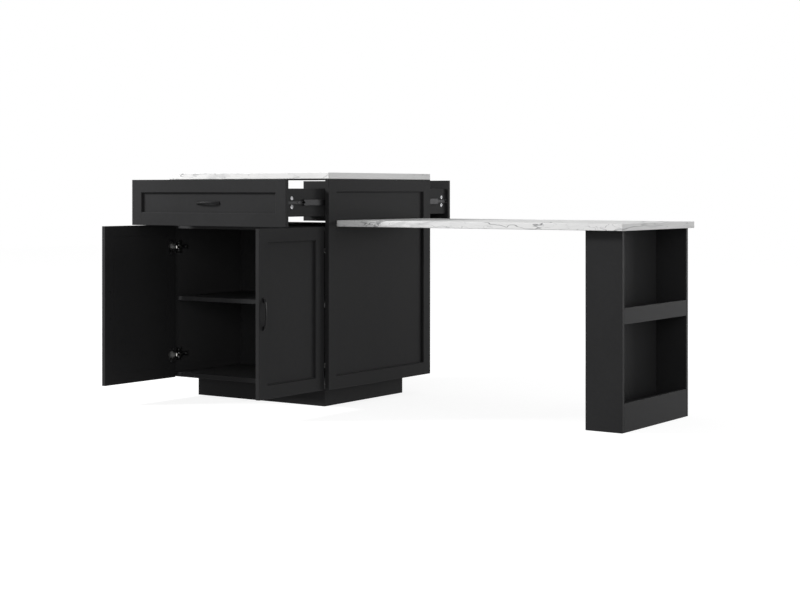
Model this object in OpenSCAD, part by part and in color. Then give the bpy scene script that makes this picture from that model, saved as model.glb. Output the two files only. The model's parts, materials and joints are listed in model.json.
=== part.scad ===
// Kitchen cart: a closed cabinet with two doors and two drawers, and a table that runs from
// its right side to a narrow shelf leg. All sizes are in millimetres. The origin is on the floor
// under the middle of the cabinet, +X runs towards the table and the doors face -Y.

/* [Cabinet] */
// Width of the cabinet across the side panels
cab_w = 825; // [790:1:900]
// Depth of the cabinet from front plane to back plane
cab_d = 705; // [700:1:760]
// Height of the worktop above the floor
cab_h = 915; // [880:1:960]
// Thickness of the worktop
top_t = 24; // [20:1:40]
// Thickness of the side panels
side_t = 18; // [17:1:22]
// Thickness of the boards inside the cabinet
inner_t = 17; // [15:1:20]
// Height of the drawer compartment under the worktop
drawer_zone = 185; // [180:1:220]
// Depth of the door bay, from the front plane to the middle wall
bay_d = 430; // [380:1:450]
// Height of the shelf tops above the floor
shelf_z = 410; // [300:1:500]
// Gap between the closed fronts and the boards behind them
board_set = 1; // [0.5:0.5:3]
// Distance of the front shelf behind the boards round it
shelf_front_in = 2; // [1:0.5:20]
// Distance of the rear shelf from the back plane
shelf_rear_in = 4; // [0:0.5:20]
// Clearance at each end of a loose shelf
shelf_play = 1; // [0.5:0.5:3]
// Small chamfer on the long edges of the boards
ease = 0.8; // [0.4:0.2:2]
// Chamfer on the edges of the worktop and the table
stone_ease = 1.6; // [0.8:0.2:4]

/* [Plinth] */
// Height of the plinth
plinth_h = 78; // [60:1:110]
// How far the plinth stands back from each side of the cabinet
plinth_in = 84; // [50:1:110]
// Thickness of the plinth boards
plinth_t = 18; // [16:1:22]

/* [Shaker frames] */
// Flat width of the frame boards
frame_w = 49; // [40:1:60]
// Width and depth of the bevel round the recess
bevel = 3; // [1:0.5:5]
// Depth of the recess
recess = 10; // [6:0.5:11]
// How far the infill reaches behind the frame boards
tuck = 8; // [4:1:12]
// Clearance round the infill in its rebate
infill_fit = 0.3; // [0.1:0.1:1]
// Hairline between a rail and the stiles
joint_gap = 0.1; // [0.05:0.05:0.3]

/* [Fronts] */
// Thickness of the doors and drawer fronts
front_t = 17; // [16:0.5:20]
// Gap between a front and the side panel
side_gap = 1.5; // [1:0.5:3]
// Gap between the two doors
mid_gap = 2.5; // [1.5:0.5:5]
// Gap between the rows of fronts, and under the worktop
row_gap = 2.5; // [1.5:0.5:5]
// Height of the drawer fronts' lower edges above the divider board
drawer_gap = 2; // [1:0.5:4]
// Angle of the left door as it stands, 0 is shut
left_open = 92; // [0:1:108]
// Angle of the right door as it stands, 0 is shut
right_open = 90; // [0:1:108]

/* [Hinges] */
// Distance of each hinge from the end of its door
hinge_in = 92; // [70:1:120]
// Diameter of the hinge cup
cup_d = 35; // [35:1:36]
// Depth of the bore for the cup
cup_depth = 12; // [11.5:0.5:13]
// Distance of the cup's centre from the door's edge
cup_edge = 22.5; // [22:0.5:24]
// Wall of the cup
cup_wall = 1; // [0.8:0.1:1.2]
// Clearance round the cup in its bore
cup_fit = 0.1; // [0.05:0.05:0.3]
// Thickness of the flange round the cup
flange_t = 1; // [0.8:0.1:1.2]
// Width of the cup's flange across the door
flange_w = 22; // [18:1:26]
// Height of the cup's flange
flange_h = 56; // [50:1:64]
// Distance of the turning axis from the side panel's inner face
pivot_in = 0.25; // [0:0.05:0.5]
// Distance of the turning axis in front of the cabinet
pivot_out = 1.75; // [1.5:0.05:2]
// Width of the hinge arm
arm_w = 16; // [14:0.5:16]
// Diameter of the pin between arm and link
pin_d = 3; // [2.5:0.5:3]
// Clearance all round the pin in the link
pin_fit = 0.08; // [0.05:0.01:0.1]
// Distance of that pin from the side panel's inner face
pin_s = 22.8; // [22.6:0.1:23]
// Distance of that pin behind the cabinet's front plane
pin_t = 11.5; // [11.3:0.1:11.7]
// Length of the hinge link between its end centres
link_l = 11.9; // [11:0.1:11.9]
// Thickness of the hinge link
link_t = 8.8; // [8.4:0.1:8.8]
// Clearance beside the link in the fork of the arm
fork_fit = 0.3; // [0.2:0.1:0.5]

/* [Drawers] */
// How far the front drawer stands out
front_out = 240; // [0:1:290]
// How far the rear drawer stands out
rear_out = 183; // [0:1:290]
// Length of the drawer box behind its front
box_l = 320; // [310:1:330]
// Height of the drawer box
box_h = 106.5; // [90:0.5:110]
// Height of the box above the lower edge of its front
box_up = 39; // [36:1:50]
// Thickness of the sides and back of the box
box_t = 12; // [12:0.5:15]
// Thickness of the drawer floor
floor_t = 4; // [3:0.5:6]
// Height of the drawer floor above the lower edge of the sides
floor_up = 8; // [6:1:12]
// Depth of the groove for the drawer floor
groove = 5; // [3:0.5:6]
// Clearance round the drawer floor in its groove
floor_fit = 0.2; // [0.1:0.1:0.4]

/* [Cam fittings] */
// Diameter of the cams
cam_d = 15; // [12:1:16]
// Thickness of the cams
cam_t = 8; // [6:0.5:9]
// Distance of a cam from the inner face of its front
cam_in = 34; // [24:1:40]
// Distance between the two cams of one corner
cam_pitch = 33; // [24:1:40]
// Diameter of the bolt that a cam draws in
cam_bolt_d = 5; // [4:0.5:6]
// Depth of that bolt in the front
cam_bolt_in = 9; // [6:0.5:10]
// Clearance round cams and bolts
cam_fit = 0.15; // [0.1:0.05:0.3]

/* [Drawer slides] */
// Length of the slides
slide_l = 300; // [290:1:300]
// Space for a slide between drawer and side panel
slide_space = 12.7; // [12.7:0.1:14]
// Sheet thickness of the slides
slide_wall = 1.2; // [1:0.1:1.5]
// Depth of the member on the side panel
outer_d = 9; // [7:0.5:10]
// Height of the middle member
middle_h = 22; // [20:0.5:22]
// Height of the member on the drawer
inner_h = 12; // [10:0.5:13]
// Running clearance between the members
slide_fit = 0.4; // [0.3:0.05:0.6]
// Gap between the webs of the nested members
web_gap = 1.8; // [1.6:0.1:2.2]
// Travel of the middle member as a part of the drawer's travel
middle_share = 0.6; // [0.5:0.01:0.62]

/* [Handles] */
// Length of a handle
handle_l = 121; // [110:1:150]
// How far the middle of a handle stands out
handle_out = 15; // [14:0.5:25]
// How far the ends of a handle stand out
handle_end = 8.5; // [8:0.5:10]
// Width of the handle bar
handle_w = 10; // [8:0.5:14]
// Thickness of the handle bar
handle_t = 4.5; // [4:0.25:5.5]
// Length of each foot of a handle
handle_foot = 17; // [12:0.5:20]
// Depth of the screws in the feet
handle_screw_in = 5; // [3:0.5:5.5]

/* [Table] */
// How far the table top lies below the worktop
table_drop = 185; // [160:1:220]
// Thickness of the table top
table_t = 24; // [20:1:32]
// Length of the table top from its seat in the side panel
table_l = 1233; // [1000:1:1400]
// Gap between the table top and the front stile of the side panel
table_gap_f = 10.5; // [0.5:0.5:20]
// Gap between the table top and the rear stile of the side panel
table_gap_b = 0.5; // [0.5:0.5:20]
// Diameter of the bolts that hold the table top
bolt_d = 6; // [5:0.5:8]
// Length of those bolts under the head
bolt_l = 58; // [45:1:80]
// Distance between those bolts
bolt_pitch = 220; // [150:1:250]
// Clearance round those bolts
bolt_fit = 0.3; // [0.2:0.1:0.6]

/* [Shelf leg] */
// Width of the leg unit
leg_w = 540; // [480:1:560]
// Depth of the leg unit
leg_d = 145; // [120:1:220]
// Distance of the leg unit from the end of the table top
leg_in = 22; // [0:1:60]
// Distance of the leg unit from the rear edge of the table top
leg_side_in = 9; // [0:0.5:40]
// Thickness of the leg unit's boards
leg_t = 16; // [15:0.5:20]
// Distance of the back panel from the rear edges of the sides
leg_back_in = 5.5; // [0:0.5:20]
// Height of the lower edge of the middle shelf
leg_shelf_z = 378; // [300:1:420]
// Height of the board in front of the middle shelf
lip_h = 58; // [40:1:80]
// How far that board and the kick board stand above their shelves
tray_d = 42; // [20:1:50]
// Height of the kick board
kick_h = 103; // [70:1:140]

/* [Small parts] */
// Diameter of the shelf pins
peg_d = 5; // [4:0.5:6]
// Depth of a shelf pin in the side panel
peg_in = 6; // [4:0.5:6]
// Length of a shelf pin under the shelf
peg_out = 9; // [7:0.5:12]
// Clearance round the shelf pins and screws in their holes
hole_fit = 0.1; // [0.05:0.05:0.2]
// Leg length of the corner brackets
bracket_l = 30; // [24:1:32]
// Width of the corner brackets
bracket_w = 30; // [20:1:40]
// Sheet thickness of the corner brackets
bracket_t = 2; // [1.5:0.5:3]
// Shank diameter of the screws
screw_d = 4; // [3:0.5:4]
// Head diameter of the screws
screw_head_d = 7; // [6:0.5:8]
// Head height of the flat screws
screw_head_t = 1.2; // [1:0.1:1.3]

/* [Hidden] */
$fn = 48;

// How far a cutting shape runs past what it cuts
over = 1;
cab_r = cab_w / 2;
cab_f = -cab_d / 2;
cab_b = cab_d / 2;
side_in = cab_r - side_t;
under_top = cab_h - top_t;
side_h = under_top - plinth_h;
divider_top = under_top - drawer_zone;
divider_z = divider_top - inner_t;
bottom_top = plinth_h + inner_t;
infill_t = side_t - recess;
board_w = frame_w + bevel;
board_f = cab_f + front_t + board_set;
wall_f = cab_f + bay_d;
wall_b = wall_f + inner_t;

front_w = 2 * (side_in - side_gap);
drawer_low = divider_top + drawer_gap;
drawer_h = under_top - row_gap - drawer_low;
door_w = (front_w - mid_gap) / 2;
door_h = drawer_low - row_gap - plinth_h;
pivot_x = side_in - pivot_in;
pivot_y = cab_f - pivot_out;

hinge_zs = [plinth_h + hinge_in, plinth_h + door_h - hinge_in];
plate_t = 2;
plate_f = 19;
plate_l = 36;
plate_h = 52;
plate_hole_t = 37;
plate_hole_z = 16;
plate_screw_l = 10;
saddle_in = 2;
saddle_w = 12;
saddle_t = 5;
saddle_l = 64;
arm_end_t = 82;
arm_top_s = 11;
nose_r = 3.5;
// The arm's crank: gap behind the cup's flange, corner cut, and the ramp up to the nose
crank_gap = 1;
arm_heel = 5;
arm_ramp = [17, 8, 3];
crank_t = front_t + flange_t + crank_gap;
arm_screws_t = [40, 70];
fork_wall = 2.2;
fork_floor = 2;
link_w = arm_w - 2 * (fork_wall + fork_fit);
flange_ring = 2;
cup_screw_z = 24;
cup_screw_l = 8;

box_z = drawer_low + box_up;
box_mid = box_z + box_h / 2;
box_out = side_in - slide_space;
box_in = box_out - box_t;
outer_h = middle_h + 2 * (slide_fit + slide_wall);
middle_d = outer_d - web_gap + slide_fit;
middle_web = slide_wall + web_gap;
race = middle_h / 2 - inner_h / 2 - slide_fit;
slide_notch = 8;
slide_f = front_t + board_set;
slide_screws_y = [70, 250];
side_screw_l = 6.5;
cam_slot_w = 1.4;
cam_slot_in = 2;
handle_pitch = handle_l - handle_foot;
bow_steps = 28;
hole_end = 0.5;
slide_screw_end = 2;
slide_screw_l = box_t - slide_screw_end;

recess_x = cab_r - recess;
table_h = cab_h - table_drop;
table_end = recess_x + table_l;
table_z = table_h - table_t;
table_f = cab_f + board_w + table_gap_f;
table_b = cab_b - board_w - table_gap_b;
table_mid = (table_f + table_b) / 2;
leg_x1 = table_end - leg_in;
leg_x0 = leg_x1 - leg_d;
leg_b = table_b - leg_side_in;
leg_f = leg_b - leg_w;
leg_mid = (leg_f + leg_b) / 2;
leg_back_x = leg_x0 + leg_back_in + leg_t;
leg_lip_x = leg_x1 - leg_t;
bolt_z = table_z + table_t / 2;
bolt_head_d = 12;
bolt_head_t = 4;

// Distances of the shelf pins from the ends of their shelves
peg_front_in = [90, 60];
peg_rear_in = [50, 85];
pegs_front_y = [cab_f + peg_front_in[0], wall_f - peg_front_in[1]];
pegs_rear_y = [wall_b + peg_rear_in[0], cab_b - peg_rear_in[1]];
peg_z = shelf_z - inner_t - peg_d / 2;
bracket_end = 120;
bracket_ys = [cab_f + bracket_end, 0, cab_b - bracket_end];
bracket_hole = 20;
bracket_screw_l = 12;
leg_bracket_ys = [leg_mid - leg_w / 3, leg_mid, leg_mid + leg_w / 3];

black = [0.075, 0.075, 0.08];
black_inside = [0.05, 0.05, 0.055];
stone = [0.93, 0.93, 0.93];
steel = [0.7, 0.7, 0.72];
zinc = [0.8, 0.8, 0.82];
grip_black = [0.04, 0.04, 0.045];

// A rectangle with its corners cut off
module cut_rect(a, b, c) {
    polygon([[c, 0], [a - c, 0], [a, c], [a, b - c], [a - c, b], [c, b], [0, b - c], [0, c]]);
}

// A board with all its edges eased
module eased_box(size, c) {
    intersection() {
        linear_extrude(size[2])
            cut_rect(size[0], size[1], c);
        translate([0, size[1], 0])
            rotate([90, 0, 0])
                linear_extrude(size[1])
                    cut_rect(size[0], size[2], c);
        rotate([90, 0, 90])
            linear_extrude(size[0])
                cut_rect(size[1], size[2], c);
    }
}

// Outline of the opening in a shaker frame of width n and thickness t
function opening_outline(n, t) = [
    [frame_w, -over], [n - frame_w, -over], [n - frame_w, 0], [n - board_w, bevel],
    [n - board_w, t + over], [board_w, t + over], [board_w, bevel], [frame_w, 0]
];

// The opening itself, with bevels that meet in mitres
module shaker_opening(w, h, t) {
    intersection() {
        translate([0, 0, -over])
            linear_extrude(h + 2 * over)
                polygon(opening_outline(w, t));
        translate([w + over, 0, 0])
            rotate([0, -90, 0])
                linear_extrude(w + 2 * over)
                    polygon(opening_outline(h, t));
    }
}

// The rebate behind the frame, with clearance fit all round
module shaker_rebate(w, h, t, fit) {
    low = board_w - tuck - fit;
    translate([low, recess, low])
        cube([w - 2 * low, t - recess, h - 2 * low]);
}

// Two stiles and two rails, outer face at y = 0, lower left corner at the origin
module shaker_frame(w, h, t) {
    rail_l = w - 2 * board_w - 2 * joint_gap;
    difference() {
        intersection() {
            union() {
                for (x = [0, w - board_w])
                    translate([x, 0, 0])
                        cube([board_w, t, h]);
                for (z = [0, h - board_w])
                    translate([board_w + joint_gap, 0, z])
                        cube([rail_l, t, board_w]);
            }
            eased_box([w, t, h], ease);
        }
        shaker_opening(w, h, t);
        translate([0, over, 0])
            shaker_rebate(w, h, t, infill_fit);
        shaker_rebate(w, h, t, infill_fit);
    }
}

module shaker_infill(w, h, t) {
    shaker_rebate(w, h, t, 0);
}

// A screw that points along -Z with its head on z = 0
module screw(l, d, head_d, head_t) {
    cylinder(h = head_t, d = head_d);
    translate([0, 0, -l])
        cylinder(h = l, d = d);
}

module screw_hole(l, d) {
    translate([0, 0, -l - over])
        cylinder(h = l + 2 * over, d = d + 2 * hole_fit);
}

// Places children on both side panels: local x is the distance from the inner face of the
// side, local y the distance behind the front plane
module on_right() {
    translate([side_in, cab_f, 0])
        mirror([1, 0, 0])
            children();
}

module on_left() {
    mirror([1, 0, 0])
        on_right()
            children();
}

module on_both() {
    on_right()
        children();
    on_left()
        children();
}

// Turns the closed right door's parts by angle a about its hinge edge
module swing(a) {
    translate([pivot_x, pivot_y, 0])
        rotate([0, 0, a])
            translate([-pivot_x, -pivot_y, 0])
                children();
}

module swing_right() {
    swing(right_open)
        children();
}

module swing_left() {
    mirror([1, 0, 0])
        swing(left_open)
            children();
}

// Places a drawer's parts: local y is the distance behind its outer face
module at_front_drawer() {
    translate([0, cab_f - front_out, 0])
        children();
}

module at_rear_drawer() {
    rotate([0, 0, 180])
        translate([0, cab_f - rear_out, 0])
            children();
}

// Turns a screw's own -Z to the direction named
module point_left() {
    rotate([0, 90, 0])
        children();
}

module point_right() {
    rotate([0, -90, 0])
        children();
}

module point_front() {
    rotate([-90, 0, 0])
        children();
}

// Holes that a side panel carries for pins, hinge plates, slides and brackets
module side_holes() {
    for (y = concat(pegs_front_y, pegs_rear_y))
        translate([-peg_in, y - cab_f, peg_z])
            rotate([0, 90, 0])
                cylinder(h = peg_in + over, d = peg_d + 2 * hole_fit);
    for (z = hinge_zs)
        for (dz = [-plate_hole_z, plate_hole_z])
            translate([0, plate_hole_t, z + dz])
                point_left_hole(plate_screw_l, screw_d);
    for (y = slide_screws_y)
        for (f = [slide_f + y, cab_d - slide_f - y])
            translate([0, f, box_mid])
                point_left_hole(side_screw_l, screw_d);
    for (y = bracket_ys)
        translate([0, y - cab_f, under_top - bracket_hole])
            point_left_hole(bracket_screw_l, screw_d);
}

// A screw hole that runs from a side panel's inner face into the panel
module point_left_hole(l, d) {
    translate([-l - hole_end, 0, 0])
        rotate([0, 90, 0])
            cylinder(h = l + hole_end + over, d = d + 2 * hole_fit);
}

// A side panel's boards, right side: outer face turned to +X
module place_side() {
    translate([cab_r, cab_f, plinth_h])
        rotate([0, 0, 90])
            children();
}

module bolt_holes() {
    for (i = [-1, 0, 1])
        translate([side_in - over, table_mid + i * bolt_pitch, bolt_z])
            rotate([0, 90, 0])
                cylinder(h = side_t + bolt_l + over, d = bolt_d + 2 * bolt_fit);
}

module right_side_frame_shape() {
    difference() {
        place_side()
            shaker_frame(cab_d, side_h, side_t);
        on_right()
            side_holes();
    }
}

module right_side_infill_shape() {
    difference() {
        place_side()
            shaker_infill(cab_d, side_h, side_t);
        on_right()
            side_holes();
    }
}

module left_side_frame() {
    color(black)
        mirror([1, 0, 0])
            right_side_frame_shape();
}

module left_side_infill() {
    color(black)
        mirror([1, 0, 0])
            right_side_infill_shape();
}

module right_side_frame() {
    color(black)
        right_side_frame_shape();
}

module right_side_infill() {
    color(black)
        difference() {
            right_side_infill_shape();
            bolt_holes();
        }
}

module countertop() {
    color(stone)
        difference() {
            translate([-cab_r, cab_f, under_top])
                eased_box([cab_w, cab_d, top_t], stone_ease);
            on_both()
                for (y = bracket_ys)
                    translate([bracket_hole, y - cab_f, under_top])
                        rotate([180, 0, 0])
                            screw_hole(bracket_screw_l, screw_d);
        }
}

// A board between the side panels, from y0 to y1, with its upper face at z
module cross_board(y0, y1, z) {
    translate([-side_in, y0, z - inner_t])
        eased_box([2 * side_in, y1 - y0, inner_t], ease);
}

module bottom_board() {
    color(black)
        cross_board(board_f, cab_b, bottom_top);
}

module divider_board() {
    color(black)
        cross_board(board_f, cab_b, divider_top);
}

module middle_wall() {
    color(black_inside)
        translate([-side_in, wall_f, bottom_top])
            cube([2 * side_in, inner_t, divider_z - bottom_top]);
}

module loose_shelf(y0, y1) {
    translate([-side_in + shelf_play, y0, shelf_z - inner_t])
        eased_box([2 * (side_in - shelf_play), y1 - y0, inner_t], ease);
}

module front_shelf() {
    color(black_inside)
        loose_shelf(board_f + shelf_front_in, wall_f);
}

module rear_shelf() {
    color(black_inside)
        loose_shelf(wall_b, cab_b - shelf_rear_in);
}

module shelf_pins() {
    color(steel)
        on_both()
            for (y = concat(pegs_front_y, pegs_rear_y))
                translate([-peg_in + hole_fit, y - cab_f, peg_z])
                    rotate([0, 90, 0])
                        cylinder(h = peg_in - hole_fit + peg_out, d = peg_d);
}

module plinth_front() {
    color(black)
        translate([-cab_r + plinth_in, cab_f + plinth_in, 0])
            eased_box([cab_w - 2 * plinth_in, plinth_t, plinth_h], ease);
}

module plinth_back() {
    color(black)
        translate([-cab_r + plinth_in, cab_b - plinth_in - plinth_t, 0])
            eased_box([cab_w - 2 * plinth_in, plinth_t, plinth_h], ease);
}

// Length of the plinth boards that run between the front and back ones
function plinth_run() = cab_d - 2 * (plinth_in + plinth_t);

module plinth_sides() {
    color(black)
        for (x = [-cab_r + plinth_in, cab_r - plinth_in - plinth_t])
            translate([x, cab_f + plinth_in + plinth_t, 0])
                cube([plinth_t, plinth_run(), plinth_h]);
}

module plinth_centre_rail() {
    color(black)
        translate([-plinth_t / 2, cab_f + plinth_in + plinth_t, 0])
            cube([plinth_t, plinth_run(), plinth_h]);
}

// A bent sheet bracket with its corner on the x axis: one leg along x, one along -z
module bracket() {
    difference() {
        translate([0, -bracket_w / 2, -bracket_l])
            union() {
                cube([bracket_t, bracket_w, bracket_l]);
                translate([0, 0, bracket_l - bracket_t])
                    cube([bracket_l, bracket_w, bracket_t]);
            }
        translate([-over, 0, -bracket_hole])
            rotate([0, 90, 0])
                cylinder(h = bracket_t + 2 * over, d = screw_d + 2 * hole_fit);
        translate([bracket_hole, 0, -bracket_t - over])
            cylinder(h = bracket_t + 2 * over, d = screw_d + 2 * hole_fit);
    }
}

module bracket_screws() {
    translate([bracket_t, 0, -bracket_hole])
        point_left()
            screw(bracket_screw_l + bracket_t - hole_fit, screw_d, screw_head_d, screw_head_t);
    translate([bracket_hole, 0, -bracket_t])
        rotate([180, 0, 0])
            screw(bracket_screw_l + bracket_t - hole_fit, screw_d, screw_head_d, screw_head_t);
}

// Places children at each bracket of the cabinet and of the leg unit
module at_brackets() {
    on_both()
        for (y = bracket_ys)
            translate([0, y - cab_f, under_top])
                children();
    for (y = leg_bracket_ys)
        translate([leg_x0 + leg_back_in, y, table_z])
            mirror([1, 0, 0])
                children();
}

module corner_brackets() {
    color(zinc)
        at_brackets()
            bracket();
}

module hinge_plate() {
    difference() {
        union() {
            translate([0, plate_f, -plate_h / 2])
                cube([plate_t, plate_l, plate_h]);
            translate([0, plate_f + saddle_in, -saddle_w / 2])
                cube([saddle_t, saddle_l, saddle_w]);
        }
        for (dz = [-plate_hole_z, plate_hole_z])
            translate([-over, plate_hole_t, dz])
                rotate([0, 90, 0])
                    cylinder(h = plate_t + 2 * over, d = screw_d + 2 * hole_fit);
        for (y = arm_screws_t)
            translate([-over, y, 0])
                rotate([0, 90, 0])
                    cylinder(h = saddle_t + 2 * over, d = screw_d + 2 * hole_fit);
    }
}

module hinge_plates() {
    color(zinc)
        on_both()
            for (z = hinge_zs)
                translate([0, 0, z])
                    hinge_plate();
}

// Side view of the cranked arm, x away from the side panel, y behind the front plane
module arm_outline() {
    polygon([
        [saddle_t, arm_end_t], [arm_top_s, arm_end_t], [arm_top_s, crank_t + arm_ramp[0]],
        [pin_s, crank_t + arm_ramp[1]], [pin_s + nose_r, crank_t + arm_ramp[2]],
        [pin_s + nose_r, pin_t], [pin_s - nose_r, pin_t], [pin_s - nose_r, crank_t],
        [saddle_t + arm_heel, crank_t], [saddle_t, crank_t + arm_heel]
    ]);
    translate([pin_s, pin_t])
        circle(r = nose_r);
}

module hinge_arm() {
    difference() {
        translate([0, 0, -arm_w / 2])
            linear_extrude(arm_w)
                arm_outline();
        translate([pin_s - 2 * nose_r, pin_t - 2 * nose_r, -link_w / 2 - fork_fit])
            cube([4 * nose_r, crank_t - fork_floor - pin_t + 2 * nose_r, link_w + 2 * fork_fit]);
        for (y = arm_screws_t)
            translate([-over, y, 0])
                rotate([0, 90, 0])
                    cylinder(h = arm_top_s + 2 * over, d = screw_d + 2 * hole_fit);
    }
    translate([pin_s, pin_t, -arm_w / 2])
        cylinder(h = arm_w, d = pin_d);
}

module hinge_arms() {
    color(steel)
        on_both()
            for (z = hinge_zs)
                translate([0, 0, z])
                    hinge_arm();
}

// A link that turns with its door about the pin of an arm
module hinge_link() {
    difference() {
        union() {
            cylinder(h = link_w, d = link_t);
            translate([-link_t / 2, 0, 0])
                cube([link_t, link_l, link_w]);
            translate([0, link_l, 0])
                cylinder(h = link_w, d = link_t);
        }
        translate([0, 0, -over])
            cylinder(h = link_w + 2 * over, d = pin_d + 2 * pin_fit);
    }
}

// The two links of a right door that stands at angle a
module links_shape(a) {
    for (z = hinge_zs)
        translate([side_in - pin_s, cab_f + pin_t, z - link_w / 2])
            rotate([0, 0, 90 + a])
                hinge_link();
}

module right_hinge_links() {
    color(steel)
        links_shape(right_open);
}

module left_hinge_links() {
    color(steel)
        mirror([1, 0, 0])
            links_shape(left_open);
}

// Screws of the hinge plates and arms on one side panel
module hinge_screws() {
    for (z = hinge_zs) {
        for (dz = [-plate_hole_z, plate_hole_z])
            translate([plate_t, plate_hole_t, z + dz])
                point_left()
                    screw(plate_screw_l + plate_t - hole_fit, screw_d, screw_head_d, screw_head_t);
        for (y = arm_screws_t)
            translate([arm_top_s, y, z])
                point_left()
                    screw(arm_top_s - hole_fit, screw_d, screw_head_d, screw_head_t);
    }
}

module slide_side_screws() {
    for (y = slide_screws_y)
        for (f = [slide_f + y, cab_d - slide_f - y])
            translate([slide_wall, f, box_mid])
                point_left()
                    screw(side_screw_l + slide_wall - hole_fit, screw_d, screw_head_d, screw_head_t);
}

module wood_screws() {
    color(steel) {
        at_brackets()
            bracket_screws();
        on_both()
            hinge_screws();
        on_both()
            slide_side_screws();
    }
}

// Member on the side panel: a channel that opens towards the drawer
module slide_outer() {
    difference() {
        translate([0, 0, -outer_h / 2])
            cube([outer_d, slide_l, outer_h]);
        translate([slide_wall, -over, -middle_h / 2 - slide_fit])
            cube([outer_d, slide_l + 2 * over, middle_h + 2 * slide_fit]);
        for (y = slide_screws_y)
            translate([-over, y, 0])
                rotate([0, 90, 0])
                    cylinder(h = slide_wall + 2 * over, d = screw_d + 2 * hole_fit);
    }
}

// Middle member: its web faces the side panel and its front end is notched
module slide_middle() {
    difference() {
        translate([middle_web, 0, -middle_h / 2])
            cube([middle_d, slide_l, middle_h]);
        translate([middle_web + slide_wall, -over, -middle_h / 2 + race])
            cube([middle_d, slide_l + 2 * over, middle_h - 2 * race]);
        translate([middle_web - over, 0, 0])
            rotate([0, 90, 0])
                linear_extrude(slide_wall + 2 * over)
                    polygon([[-middle_h / 2 + race, -over], [middle_h / 2 - race, -over], [0, slide_notch]]);
    }
}

// Member on the drawer: a narrow channel that opens towards the side panel
module slide_inner() {
    inner_d = slide_space - middle_web - slide_wall - slide_fit;
    translate([slide_space - inner_d, 0, 0])
        difference() {
            translate([0, 0, -inner_h / 2])
                cube([inner_d, slide_l, inner_h]);
            translate([-over, -over, -inner_h / 2 + slide_wall])
                cube([inner_d - slide_wall + over, slide_l + 2 * over, inner_h - 2 * slide_wall]);
            for (y = slide_screws_y)
                translate([inner_d - slide_wall - over, y, 0])
                    rotate([0, 90, 0])
                        cylinder(h = slide_wall + 2 * over, d = screw_d + 2 * hole_fit);
        }
}

// Both ends of the cabinet carry slides: the second set is turned half a turn
module both_ends() {
    children();
    rotate([0, 0, 180])
        children();
}

module slide_cabinet_members() {
    color(zinc)
        both_ends()
            on_both()
                translate([0, slide_f, box_mid])
                    slide_outer();
}

module middle_pair(out) {
    on_both()
        translate([0, slide_f - middle_share * out, box_mid])
            slide_middle();
}

module front_slide_middles() {
    color(zinc)
        middle_pair(front_out);
}

module rear_slide_middles() {
    color(zinc)
        rotate([0, 0, 180])
            middle_pair(rear_out);
}

module table_top() {
    color(stone)
        difference() {
            translate([recess_x, table_f, table_z])
                eased_box([table_l, table_b - table_f, table_t], stone_ease);
            bolt_holes();
            for (y = leg_bracket_ys)
                translate([leg_x0 + leg_back_in - bracket_hole, y, table_z])
                    rotate([180, 0, 0])
                        screw_hole(bracket_screw_l, screw_d);
        }
}

module table_bolts() {
    color(steel)
        for (i = [-1, 0, 1])
            translate([side_in, table_mid + i * bolt_pitch, bolt_z])
                point_right()
                    screw(bolt_l, bolt_d, bolt_head_d, bolt_head_t);
}

module leg_side_boards() {
    color(black)
        for (y = [leg_f, leg_b - leg_t])
            translate([leg_x0, y, 0])
                eased_box([leg_d, leg_t, table_z], ease);
}

// A board between the leg's sides
module leg_board(x0, x1, z0, z1) {
    translate([x0, leg_f + leg_t, z0])
        cube([x1 - x0, leg_w - 2 * leg_t, z1 - z0]);
}

module leg_back_panel() {
    color(black)
        difference() {
            leg_board(leg_back_x - leg_t, leg_back_x, 0, table_z);
            for (y = leg_bracket_ys)
                translate([leg_x0 + leg_back_in, y, table_z - bracket_hole])
                    rotate([0, -90, 0])
                        screw_hole(bracket_screw_l, screw_d);
        }
}

module leg_shelf() {
    color(black_inside)
        leg_board(leg_back_x, leg_lip_x, leg_shelf_z, leg_shelf_z + lip_h - tray_d);
}

module leg_shelf_lip() {
    color(black)
        leg_board(leg_lip_x, leg_x1, leg_shelf_z, leg_shelf_z + lip_h);
}

module leg_bottom_board() {
    color(black_inside)
        leg_board(leg_back_x, leg_lip_x, kick_h - tray_d - leg_t, kick_h - tray_d);
}

module leg_kick_board() {
    color(black)
        leg_board(leg_lip_x, leg_x1, 0, kick_h);
}

// How far the outer side of a bow stands out at a place x along its length
function bow_out(x) = handle_out - (handle_out - handle_end) * pow(2 * x / handle_l, 2);

// Points of a flat arch from -a to a, less a thickness t
function arch(a, t, steps) = [
    for (i = [0 : steps])
        let (x = a * (2 * i / steps - 1))
            [x, t - bow_out(x)]
];

// A bow handle: its length lies along x and it stands out along -y from y = 0
module bow_handle() {
    foot_in = handle_l / 2 - handle_foot;
    outer = arch(handle_l / 2, 0, bow_steps);
    inner = arch(-foot_in, handle_t, bow_steps);
    feet = [[handle_l / 2, 0], [foot_in, 0]];
    outline = concat([[-handle_l / 2, 0]], outer, feet, inner, [[-foot_in, 0]]);
    difference() {
        translate([0, 0, -handle_w / 2])
            linear_extrude(handle_w)
                polygon(outline);
        for (x = [-handle_pitch / 2, handle_pitch / 2])
            translate([x, over, 0])
                rotate([90, 0, 0])
                    cylinder(h = handle_screw_in + 2 * over, d = screw_d + 2 * hole_fit);
    }
}

// Screws that hold a handle through a board of thickness t
module handle_screws(t) {
    for (x = [-handle_pitch / 2, handle_pitch / 2])
        translate([x, t, 0])
            point_front()
                screw(t + handle_screw_in, screw_d, screw_head_d, 2 * screw_head_t);
}

module handle_holes(t) {
    for (x = [-handle_pitch / 2, handle_pitch / 2])
        translate([x, t, 0])
            point_front()
                screw_hole(t, screw_d);
}

// Places a handle's parts on the free stile of the closed right door
module at_door_handle() {
    translate([side_in - side_gap - door_w + frame_w / 2, cab_f, plinth_h + door_h / 2])
        rotate([0, 90, 0])
            children();
}

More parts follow.
